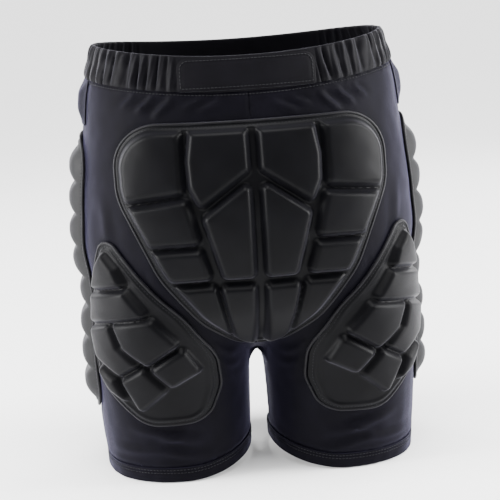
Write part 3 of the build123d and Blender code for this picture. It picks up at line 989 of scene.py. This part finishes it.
def perforated(low, high, pitch, hole):
    """A flat sheet of diagonal square cells, each with a round hole: points and triangles."""
    turn = math.pi / 4 * np.arange(8)
    ring = np.stack([np.cos(turn), np.sin(turn)], 1)
    square = ring / np.abs(ring).max(1, keepdims=True) * pitch / 2
    cell = np.concatenate([square, ring * hole])
    k = np.arange(8)
    n = (k + 1) % 8
    faces = quad_halves(k, n, 8 + n, 8 + k)
    reach = int(np.linalg.norm(np.subtract(high, low)) / pitch / 2) + 2
    i, j = np.meshgrid(np.arange(-reach, reach + 1), np.arange(-reach, reach + 1))
    centres = np.stack([i.ravel(), j.ravel()], 1) * pitch
    points = (centres[:, None] + cell[None]).reshape(-1, 2)
    triangles = (faces + 16 * np.arange(len(centres))[:, None, None]).reshape(-1, 3)
    slant = math.sqrt(0.5)
    points = points @ np.array([[slant, slant], [-slant, slant]]) + np.add(low, high) / 2
    _, first, back = np.unique(np.round(points, 3), axis=0, return_index=True,
                               return_inverse=True)
    points, triangles = points[first], back.reshape(-1)[triangles]
    near = np.all((points > np.array(low) - pitch) & (points < np.array(high) + pitch), axis=1)
    return points, triangles[near[triangles].all(1)]


def mesh_strip(side, sign):
    coarse = 1
    flat, triangles = perforated((20, 176), (90, 436), HOLE_PITCH * coarse, HOLE_RADIUS * coarse)
    for value in (
        lambda f: f[:, 0] - edge_x(CENTRE_PANEL_EDGE, f[:, 1]) - SEAM_GAP / 2,
        lambda f: edge_x(MESH_EDGE, f[:, 1]) - f[:, 0] - SEAM_GAP / 2,
        lambda f: f[:, 1] - MESH_EDGE[-1][1],
        lambda f: rim_line(f[:, 0]) - WAISTBAND - SEAM_GAP / 2 - f[:, 1],
    ):
        flat, triangles = clip(flat, triangles, value(flat))
    point, normal = on_front(flat * [sign, 1])
    triangles = facing(point, triangles, normal)
    top = point + normal * (cloth_height(point) - 0.2)[:, None]
    closed, faces = closed_sheet(top, top - normal * MESH_THICK, triangles)
    make_mesh(f"mesh_strip_{side}_cloth", closed, faces, MESH_CLOTH, "mesh_fabric", twice(flat),
              f"mesh_strip_{side}", sharp_degrees=40)


for side, sign in SIDES:
    mesh_strip(side, sign)


# ---------------- waistband and hems
WAIST_AXIS = np.array([0, -16.6])
LEG_CENTRE = np.array([LEG_AXIS, LEG[1][4] + SHIFT_Y])
LEG_REACH = 140             # from a leg's centre to beyond its surface
ROUND_WAIST = 760
ROUND_LEG = 360
CASING_OUT, CASING_IN = 1.2, -3.0
CASING_CLOTH = 0.9
HEM_OUT, HEM_IN = 0.6, -2.2
HEM_CLOTH = 1.0
HEM_STITCHES = (2.5, 6.0)   # from the hem's seam down to its two rows of stitches
GATHER_PITCH = 12.5
GATHERED_BACK, GATHERED_FRONT = 5.4, 2.8    # height of the gathers
# Radii that turn an angle round the waist or a leg into a distance along the cloth.
WAIST_UV_RADIUS = 145
LEG_UV_RADIUS = 85


def met_round(axis, angle, z, reach):
    """Surface points met from an upright axis (x, y) at angles round it and heights."""
    out = np.stack([np.cos(angle), np.sin(angle), np.zeros_like(angle)], 1)
    start = np.concatenate([np.broadcast_to(axis, (len(angle), 2)), z[:, None]], 1)
    return cast(start, out, reach, leaving=True)


def waist_walk(angle, depth):
    """Surface points at angles round the waist, depth below the rim line."""
    z = np.full(len(angle), float(RIM_HEIGHT))
    for _ in range(3):
        z = rim_line(met_round(WAIST_AXIS, angle, z, BEYOND)[:, 0]) - depth
    return met_round(WAIST_AXIS, angle, z, BEYOND)


def leg_walk(angle, height):
    """Surface points at angles round the left leg, height above the hem line."""
    z = np.zeros(len(angle)) + height
    for _ in range(3):
        point = met_round(LEG_CENTRE, angle, z, LEG_REACH)
        z = hem_line(point[:, 0]) + height
    return np.concatenate([point[:, :2], z[:, None]], 1)


def gathers(point, depth):
    """Vertical gathers of the waistband: strong at the back beside the patch, fewer in front."""
    x = np.abs(point[:, 0])
    back = point[:, 1] > WAIST_AXIS[1]
    strong = np.where(
        back, GATHERED_BACK * step_between(PATCH_HALF_WIDTH - 2, PATCH_HALF_WIDTH + 8, x),
        GATHERED_FRONT * step_between(96, 126, x))
    angle = np.arctan2(point[:, 1] - WAIST_AXIS[1], point[:, 0])
    along = 140 * angle
    stretch = np.stack([along, depth, along * 0], 1)
    phase = math.pi * along / GATHER_PITCH + 1.9 * noise(stretch * [1, 0.3, 1], 21, 21)
    ridge = np.abs(np.sin(phase)) ** 0.75 - 0.5
    ridge += 0.25 * np.abs(np.sin(2.3 * phase + 0.06 * depth)) - 0.12
    deep = 0.8 + 0.45 * noise(stretch * [1, 0.6, 1], 15, 23)
    rows = 1 - 0.25 * np.exp(-((depth - WAISTBAND / 2) / 4.0) ** 2)
    ends = step_between(-2, 7, depth) * step_between(-2, 7, WAISTBAND - depth)
    return strong * ridge * deep * rows * (0.4 + 0.6 * ends)


def grid_triangles(rows, columns):
    """Triangles of a grid whose columns close into a ring."""
    r, c = np.meshgrid(np.arange(rows - 1), np.arange(columns), indexing="ij")
    n = (c + 1) % columns
    a, b = r * columns + c, r * columns + n
    return quad_halves(a, b, b + columns, a + columns)


def ring_band(walk, path, count, height, cloth, scale):
    """A folded band that runs right round: closed points, faces and UV.

    path holds (level, offset) from the outer lower edge over the fold to the inner lower edge.
    """
    angle = np.arange(count) * 2 * math.pi / count
    rows, uv = [], []
    run = 0.0
    for k, (level, offset) in enumerate(path):
        if k:
            run += math.hypot(level - path[k - 1][0], offset - path[k - 1][1])
        point = walk(angle, level)
        lift = offset + height(point, np.full(count, float(level)))
        rows.append(point + normals_at(point) * lift[:, None])
        uv.append(np.stack([angle * scale, np.full(count, run)], 1))
    points = np.concatenate(rows)
    triangles = grid_triangles(len(path), count)
    normal = vertex_normals(points, triangles)
    outer = rows[0] - points.reshape(len(path), count, 3)[-1]
    if (normal[:count] * outer).sum() < 0:
        triangles = triangles[:, ::-1]
        normal = -normal
    closed, faces = closed_sheet(points, points - normal * cloth, triangles)
    return closed, faces, twice(np.concatenate(uv))


def fold_path(foot, head, outer, inner, rows):
    """(level, offset) up the outer face, round the fold at head and down the inner face."""
    up = [(foot + (head - foot) * k / rows, outer) for k in range(rows)]
    middle, radius = (outer + inner) / 2, (outer - inner) / 2
    sign = 1 if head > foot else -1
    bend = [(head - sign * radius + sign * radius * math.sin(a), middle + radius * math.cos(a))
            for a in np.linspace(0, math.pi, 7)]
    down = [(foot + (head - foot) * k / rows, inner) for k in reversed(range(rows))]
    return up + bend + down


def casing_height(point, depth):
    wavy = 0.15 * noise(point, 22, 31)
    tucked = -0.9 * step_between(WAISTBAND - 2.5, WAISTBAND, depth)
    return gathers(point, depth) + wavy + tucked


casing_path = fold_path(WAISTBAND, 0, CASING_OUT, CASING_IN + CASING_CLOTH, 14)
points, faces, uv = ring_band(waist_walk, casing_path, ROUND_WAIST, casing_height, CASING_CLOTH,
                              WAIST_UV_RADIUS)
make_mesh("waistband_casing_cloth", points, faces, BAND_CLOTH, "waistband_fabric", uv,
          "waistband_casing", sharp_degrees=70)


def ring_sheet(walk, low, high, top, bottom, rows, count, height, scale):
    """A plain band round the body between two levels, with an outer and an inner face."""
    angle = np.arange(count) * 2 * math.pi / count
    outer, inner, uv = [], [], []
    for level in np.linspace(low, high, rows):
        point = walk(angle, level)
        normal = normals_at(point)
        lift = height(point, np.full(count, level))[:, None]
        outer.append(point + normal * (top + lift))
        inner.append(point + normal * (bottom + lift))
        uv.append(np.stack([angle * scale, np.full(count, level)], 1))
    outer, inner = np.concatenate(outer), np.concatenate(inner)
    triangles = facing(outer, grid_triangles(rows, count), outer - inner)
    closed, faces = closed_sheet(outer, inner, triangles)
    return closed, faces, twice(np.concatenate(uv))


points, faces, uv = ring_sheet(waist_walk, WAISTBAND - 1, 3.2, -0.1, -1.7, 9, ROUND_WAIST,
                               gathers, WAIST_UV_RADIUS)
make_mesh("waist_elastic_band", points, faces, ELASTIC, "elastic", uv, "waist_elastic")


def hem_height(point, level):
    """The hem band ripples a little, with a dip where it is stitched."""
    ripple = 0.7 * noise(point * [1, 1, 0.4], 26, 41) + 0.3 * noise(point, 8, 43)
    dips = [-0.45 * np.exp(-((level - HEM_BAND + below) / 0.9) ** 2) for below in HEM_STITCHES]
    return ripple + sum(dips)


def mirrored(points, faces):
    """The same on the right half."""
    return points * [-1, 1, 1], [tuple(face)[::-1] for face in faces]


hem_path = fold_path(HEM_BAND, 0, HEM_OUT, HEM_IN + HEM_CLOTH, 12)
for side, sign in SIDES:
    points, faces, uv = ring_band(leg_walk, hem_path, ROUND_LEG, hem_height, HEM_CLOTH,
                                  LEG_UV_RADIUS)
    if sign < 0:
        points, faces = mirrored(points, faces)
    make_mesh(f"leg_hem_{side}_cloth", points, faces, SHELL_CLOTH, "hem_fabric", uv,
              f"leg_hem_{side}", sharp_degrees=70)


# ---------------- pads
PAD_STEP = 1.35
SHOULDER_POWER = 1.7        # how full the blocks' rounded edges are
CROWN = 1.3                 # how much higher a block's middle stands than its shoulders
WELT_HEIGHT = 1.9
SEAM_INSET = 2.4            # from a pad's edge in to its row of stitches
SEAM_DIP = 0.5
FOAM_UNDER_COVER = 1.5
PIPING_RADIUS = 1.75
PIPING_AWAY = 1.5
PIPING_HEIGHT = 2.1


def grid_mesh(low, high, step):
    """A flat grid of triangles over a rectangle."""
    n = [max(1, int(round((high[k] - low[k]) / step))) for k in range(2)]
    u, v = (np.linspace(low[k], high[k], n[k] + 1) for k in range(2))
    points = np.stack(np.meshgrid(u, v, indexing="ij"), -1).reshape(-1, 2)
    i, j = np.meshgrid(np.arange(n[0]), np.arange(n[1]), indexing="ij")
    a = i * (n[1] + 1) + j
    return points, quad_halves(a, a + n[1] + 1, a + n[1] + 2, a + 1)


def cover_height(flat, pad):
    """Height of the moulded cover over the shell: flange, welt, grooves and crowned blocks."""
    depth = depth_near(flat, pad.line)
    height = COVER_FLOOR - 0.5 * (1 - step_between(0, 1.5, depth))
    height += WELT_HEIGHT * np.exp(-((depth - WELT_DEPTH) / 1.5) ** 2)
    height -= SEAM_DIP * np.exp(-((depth - SEAM_INSET) / 0.8) ** 2)
    for block in pad.blocks:
        d = block(flat) + GROOVE_SPREAD
        t = d / pad.shoulder
        rise = 1 - (1 - np.clip(t, 0, 1)) ** SHOULDER_POWER + SHOULDER_POWER * np.minimum(t, 0)
        crown = CROWN * (1 - np.exp(-np.maximum(d, 0) / 13))
        raised = COVER_FLOOR + (pad.tall - COVER_FLOOR) * rise + crown
        height = -soft_lower(-height, -raised, VALLEY_ROUND)
    return height


def place(stem, flat, sign):
    """Surface points and normals under flat points of a pad, on the left or the right."""
    pad = PADS[stem]
    point = cast(pad.start(flat), pad.direction, BEYOND)
    normal = normals_at(point)
    return point * [sign, 1, 1], normal * [sign, 1, 1]


def pad_sheet(stem, sign, step, top_height, bottom_height, inside):
    """A closed piece over the part of a pad where inside(flat) is positive."""
    line = PADS[stem].line
    flat, triangles = grid_mesh(line.min(0) - 2, line.max(0) + 2, step)
    flat, triangles = clip(flat, triangles, inside(flat))
    point, normal = place(stem, flat, sign)
    triangles = facing(point, triangles, normal)
    # One round of smoothing takes the grid's steps out of the grooves.
    top = point + normal * relaxed(top_height(flat)[:, None], triangles, 0.6)
    bottom = point + normal * relaxed(bottom_height(flat)[:, None], triangles, 0.6)
    closed, faces = closed_sheet(top, bottom, triangles)
    return closed, faces, twice(flat)


def outward_of(line, distance):
    """A closed outline moved outwards."""
    ahead = np.roll(line, -1, 0) - np.roll(line, 1, 0)
    side = np.stack([ahead[:, 1], -ahead[:, 0]], 1)
    side /= np.linalg.norm(side, axis=1, keepdims=True)
    area = (line[:, 0] * np.roll(line[:, 1], -1) - np.roll(line[:, 0], -1) * line[:, 1]).sum()
    return line + side * distance * (1 if area > 0 else -1)


def make_pad(stem, suffix, sign, cloth):
    """Backing, foam, cover, piping and stitching of one pad."""
    pad = PADS[stem]

    def cover_top(flat):
        point, _ = place(stem, flat, sign)
        return cover_height(flat, pad) + 0.35 * noise(point, 17, 51)

    def level(height):
        return lambda flat: np.full(len(flat), height)

    def inside(flat):
        return depth_near(flat, pad.line)

    def beside_edge(distance):
        line = outward_of(evenly(pad.line, 2.2), distance)
        return (line, *place(stem, line, sign))

    points, faces, uv = pad_sheet(stem, sign, PAD_STEP, cover_top,
                                  lambda f: cover_top(f) - COVER_CLOTH, inside)
    cover = make_mesh(f"{stem}_cover{suffix}_cloth", points, faces, cloth, "pad_cover", uv,
                      f"{stem}_cover{suffix}", sharp_degrees=60)
    points, faces = joined([
        pad_sheet(stem, sign, 2 * PAD_STEP, lambda f: cover_top(f) - FOAM_UNDER_COVER, level(2.0),
                  lambda f: block(f) - 0.3)[:2]
        for block in pad.blocks])
    foam = make_mesh(f"{stem}_foam{suffix}_blocks", points, faces, FOAM, "foam",
                     points[:, [0, 2]], f"{stem}_foam{suffix}")
    points, faces, uv = pad_sheet(stem, sign, 2 * PAD_STEP, level(1.75), level(0.2), inside)
    make_mesh(f"{stem}_backing{suffix}_cloth", points, faces, BACKING, "pad_backing", uv,
              f"{stem}_backing{suffix}")
    _, point, normal = beside_edge(PIPING_AWAY)
    points, faces = tube_mesh(point + normal * PIPING_HEIGHT, normal, PIPING_RADIUS, True)
    make_mesh(f"{stem}_piping{suffix}_cord", points, faces, PIPING_CLOTH, "piping",
              points[:, [0, 2]], f"{stem}_piping{suffix}")
    seam, point, normal = beside_edge(-SEAM_INSET)
    points, faces = stitch_row(point + normal * cover_top(seam)[:, None], normal)
    make_mesh(f"{stem}_stitching{suffix}", points, faces, THREAD, "piping")


make_pad("seat_pad", "", 1, PAD_CLOTH)
for side, sign in SIDES:
    make_pad("thigh_pad", f"_{side}", sign, PAD_CLOTH)
    make_pad("side_pad", f"_{side}", sign, SIDE_CLOTH)


# ---------------- hip yokes over the crest pads
CREST_FRONT_X = 132
CREST_MARGIN = 5
YOKE_CLOTH_THICK = 1.3
YOKE_REST, YOKE_RISE = 1.4, 4.4     # height of the yoke, and how much more over the crest pad


def crest_depth(p):
    """Distance inside the crest pad, for points on the left half."""
    return np.minimum(hip_depth(p) - CREST_MARGIN,
                      np.where(p[:, 1] < SIDE_SEAM_Y, p[:, 0] - CREST_FRONT_X, FAR))


def yoke_top(p, left):
    """Height of the yoke's outer face: low at its edges and raised over the crest pad."""
    raised = step_between(-4, 13, crest_depth(left))
    edge = 1 - step_between(0, 2, hip_depth(left))
    return YOKE_REST + YOKE_RISE * raised + 0.4 * noise(p, 20, 61) - 0.4 * edge


def hip_piece(stem, ending, side, sign, depth, heights, cloth, slot):
    """A yoke or crest pad over the part of one hip where depth is positive."""
    points, triangles = cut_skin(
        lambda p: np.where(sign * p[:, 0] > HIP_FROM_X, depth(on_left(p)), -9))
    normal = normals_at(points)
    top, bottom = heights(yoke_top(points, on_left(points)))
    closed, faces = closed_sheet(points + normal * top[:, None],
                                 points + normal * bottom[:, None], triangles)
    piece = make_mesh(f"{stem}_{side}_{ending}", closed, faces, cloth, slot,
                      twice(shell_uv(points)), f"{stem}_{side}")


for side, sign in SIDES:
    hip_piece("hip_yoke", "cloth", side, sign, hip_depth,
              lambda top: (top, top - YOKE_CLOTH_THICK), YOKE_CLOTH, "yoke_fabric")
    hip_piece("hip_crest_pad", "block", side, sign, crest_depth,
              lambda top: (np.maximum(top - YOKE_CLOTH_THICK - 0.3, 0.6), np.full(len(top), 0.3)),
              FOAM, "foam")


# ---------------- strips sewn to the waistband
STRIP_STEP = 1.5


def strip_piece(ending, node, corners, inner, outer, cloth, slot, where=on_front, body="shorts",
                crown=0.0):
    """A flat strip with rounded corners (x, z, radius) lying on the waistband."""
    line = rounded_outline(corners, 1.0)
    flat, triangles = grid_mesh(line.min(0) - 1, line.max(0) + 1, STRIP_STEP)
    flat, triangles = clip(flat, triangles, depth_inside(flat, line))
    depth = np.maximum(depth_inside(flat, line), 0)
    point, normal = where(flat)
    triangles = facing(point, triangles, normal)
    round_over = 0.35 * (1 - step_between(0, 1.2, depth))
    top = outer - round_over + crown * step_between(1, 8, depth)
    points, faces = closed_sheet(point + normal * top[:, None], point + normal * inner, triangles)
    return make_mesh(f"{node}_{ending}", points, faces, cloth, slot, twice(flat), node, body, 40)


def box_corners(low, high, left_radius, right_radius):
    (x0, z0), (x1, z1) = low, high
    return [(x0, z0, left_radius), (x1, z0, right_radius), (x1, z1, right_radius),
            (x0, z1, left_radius)]


def flat_stitches(name, corners, lift, where=on_front, body="shorts"):
    """A row of stitches along an outline (x, z, radius) drawn on the waistband."""
    line = rounded_outline(corners, 1.5)
    point, normal = where(np.concatenate([line, line[:1]]))
    points, faces = stitch_row(point + normal * lift, normal)
    return make_mesh(name, points, faces, THREAD, "piping", body=body)


def patch_corners(inset, share=1.0):
    """The back patch's corners, moved in: its upper corners are rounder than the lower ones."""
    half, low, high = PATCH_HALF_WIDTH * share, RIM_HEIGHT - WAISTBAND + 2, RIM_HEIGHT - 1.0
    corners = box_corners((-half, low + inset), (half, high - inset), 2, 2)
    radii = (2, 2, 12, 12)
    return [(x, z, max(radius - inset, 1)) for (x, z, _), radius in zip(corners, radii)]


strip_piece("cloth", "back_waist_patch", patch_corners(0), 1.5, 2.6, BAND_CLOTH,
            "waistband_fabric", on_back, crown=0.6)
flat_stitches("back_waist_patch_stitching", patch_corners(3, 0.955), 3.0, on_back)

TAB_LOW, TAB_HIGH = TAB_MIDDLE - TAB_HEIGHT / 2, TAB_MIDDLE + TAB_HEIGHT / 2
HOOK_INSET = 4
HINGE_GAP = 0.25
STITCH_INSET = 2.2
strip_piece("tape", "waist_loop_strip",
            box_corners((TAB_FREE_X, TAB_LOW + 2), (HINGE_X - 10, TAB_HIGH - 2), 1, 1),
            1.45, 2.2, LOOP, "loop_tape")
strip_piece("cloth", "closure_anchor",
            box_corners((HINGE_X + HINGE_GAP, TAB_LOW), (ANCHOR_END_X, TAB_HIGH), 1, 2),
            1.45, 4.9, BAND_CLOTH, "closure_fabric")
tab = strip_piece("cloth", "closure_tab",
                  box_corners((TAB_FREE_X, TAB_LOW), (HINGE_X - HINGE_GAP, TAB_HIGH), 5, 1),
                  3.55, 4.9, BAND_CLOTH, "closure_fabric", body=None, crown=0.15)
strip_piece("tape", "closure_hook_strip",
            box_corners((TAB_FREE_X + HOOK_INSET, TAB_LOW + HOOK_INSET),
                        (HINGE_X - 12, TAB_HIGH - HOOK_INSET), 1, 1),
            2.55, 3.3, HOOK, "hook_tape", body="closure_tab")
tab_thread = flat_stitches("closure_tab_stitching",
                           box_corners((TAB_FREE_X + STITCH_INSET, TAB_LOW + STITCH_INSET),
                                       (HINGE_X - 2.4, TAB_HIGH - STITCH_INSET), 3, 1),
                           4.75, body=None)
# The tab and its stitching have their placement baked into their meshes.
for piece in (tab, tab_thread):
    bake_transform(piece)
flat_stitches("closure_anchor_stitching",
              box_corners((HINGE_X + STITCH_INSET, TAB_LOW + STITCH_INSET),
                          (ANCHOR_END_X - 2, TAB_HIGH - STITCH_INSET), 1, 1), 4.8)


# ---------------- stitched seams
SEAM_TO_STITCHES = 2.4
WAIST_SEAM_TO_STITCHES = 3.0


def stitched(name, rows):
    """Rows of stitches as one piece; a row is points on the surface and the height over them."""
    parts = []
    for line, height in rows:
        normal = normals_at(line)
        parts.append(stitch_row(line + normal * height[:, None], normal))
    make_mesh(name, *joined(parts), THREAD, "piping")


def shell_row(line):
    return line, cloth_height(line) + 0.15


waist_row = waist_walk(np.linspace(0, 2 * math.pi, 601), WAISTBAND + WAIST_SEAM_TO_STITCHES)
stitched("waist_seam_stitching", [shell_row(waist_row)])

for side, sign in SIDES:
    rows = []
    for edge, low in ((CENTRE_PANEL_EDGE, 172), (MESH_EDGE, 184)):
        z = np.linspace(low, RIM_HEIGHT - WAISTBAND - 1, 160)
        for away in (-SEAM_TO_STITCHES, SEAM_TO_STITCHES):
            flat = np.stack([sign * (edge_x(edge, z) + away), z], 1)
            rows.append(shell_row(on_front(flat)[0]))
    stitched(f"front_seam_stitching_{side}", rows)
    parts = []
    for from_seam in HEM_STITCHES:
        level = HEM_BAND - from_seam
        point = leg_walk(np.linspace(0, 2 * math.pi, 301), level)
        normal = normals_at(point)
        lift = HEM_OUT + hem_height(point, np.full(len(point), level)) + 0.1
        points, faces = stitch_row(point + normal * lift[:, None], normal)
        parts.append((points, faces) if sign > 0 else mirrored(points, faces))
    make_mesh(f"leg_hem_stitching_{side}", *joined(parts), THREAD, "piping")


# ---------------- floor, light and camera
MIDDLE = Vector((0, 0, 0.25))
FLOOR_REACH = 40.0
FLOOR_DROP = 0.001
FLOOR_WHITE = 0.95
SKY_STRENGTH = 0.95
SUN_STRENGTH = 5.6
SUN_SPREAD = math.radians(45)
SUN_TILT = math.radians(-14)
SIDE_POWER, FRONT_POWER = 108, 22
CAMERA_PLACE = Vector((0.080 * 1.65, 0.997 * 1.65, 0.612))
CAMERA_AIM = Vector((0, 0, 0.24))
CAMERA_ROLL = math.radians(-3.4)
CAMERA_LENS, CAMERA_SENSOR = 108, 36


def area_light(name, size, power, place):
    """A rectangular light that looks at the middle of the shorts."""
    data = bpy.data.lights.new(name, "AREA")
    data.shape = "RECTANGLE"
    data.size, data.size_y = size
    data.energy = power
    lamp = new_object(name, data)
    lamp.location = place
    lamp.rotation_euler = (MIDDLE - Vector(place)).to_track_quat("-Z", "Y").to_euler()


floor_mesh = bpy.data.meshes.new("floor")
floor_mesh.from_pydata([(x * FLOOR_REACH, y * FLOOR_REACH, -FLOOR_DROP)
                        for x, y in ((-1, -1), (1, -1), (1, 1), (-1, 1))], [], [(0, 1, 2, 3)])
floor_mesh.materials.append(nodes_of("floor_paint", (FLOOR_WHITE,) * 3, 0.9)[0])
new_object("floor", floor_mesh)

world = bpy.data.worlds.new("studio")
world.use_nodes = True
world.node_tree.nodes["Background"].inputs["Color"].default_value = (1, 1, 1, 1)
world.node_tree.nodes["Background"].inputs["Strength"].default_value = SKY_STRENGTH
bpy.context.scene.world = world

for side, sign in SIDES:
    area_light(f"side_{side}", (0.7, 1.4), SIDE_POWER, (sign * 1.7, 0.26, 0.8))
for side, sign in SIDES:
    area_light(f"front_{side}", (0.6, 1.4), FRONT_POWER, (sign * 1.3, -1.4, 0.9))
sun_data = bpy.data.lights.new("ceiling", "SUN")
sun_data.energy = SUN_STRENGTH
sun_data.angle = SUN_SPREAD
sun = new_object("ceiling", sun_data)
sun.rotation_euler = (SUN_TILT, 0, 0)

camera_data = bpy.data.cameras.new("camera")
camera_data.sensor_width = CAMERA_SENSOR
camera_data.lens = CAMERA_LENS
camera = new_object("camera", camera_data)
camera.location = CAMERA_PLACE
turn = (CAMERA_AIM - CAMERA_PLACE).to_track_quat("-Z", "Y")
camera.rotation_euler = (turn @ Quaternion((0, 0, 1), CAMERA_ROLL)).to_euler()
bpy.context.scene.camera = camera
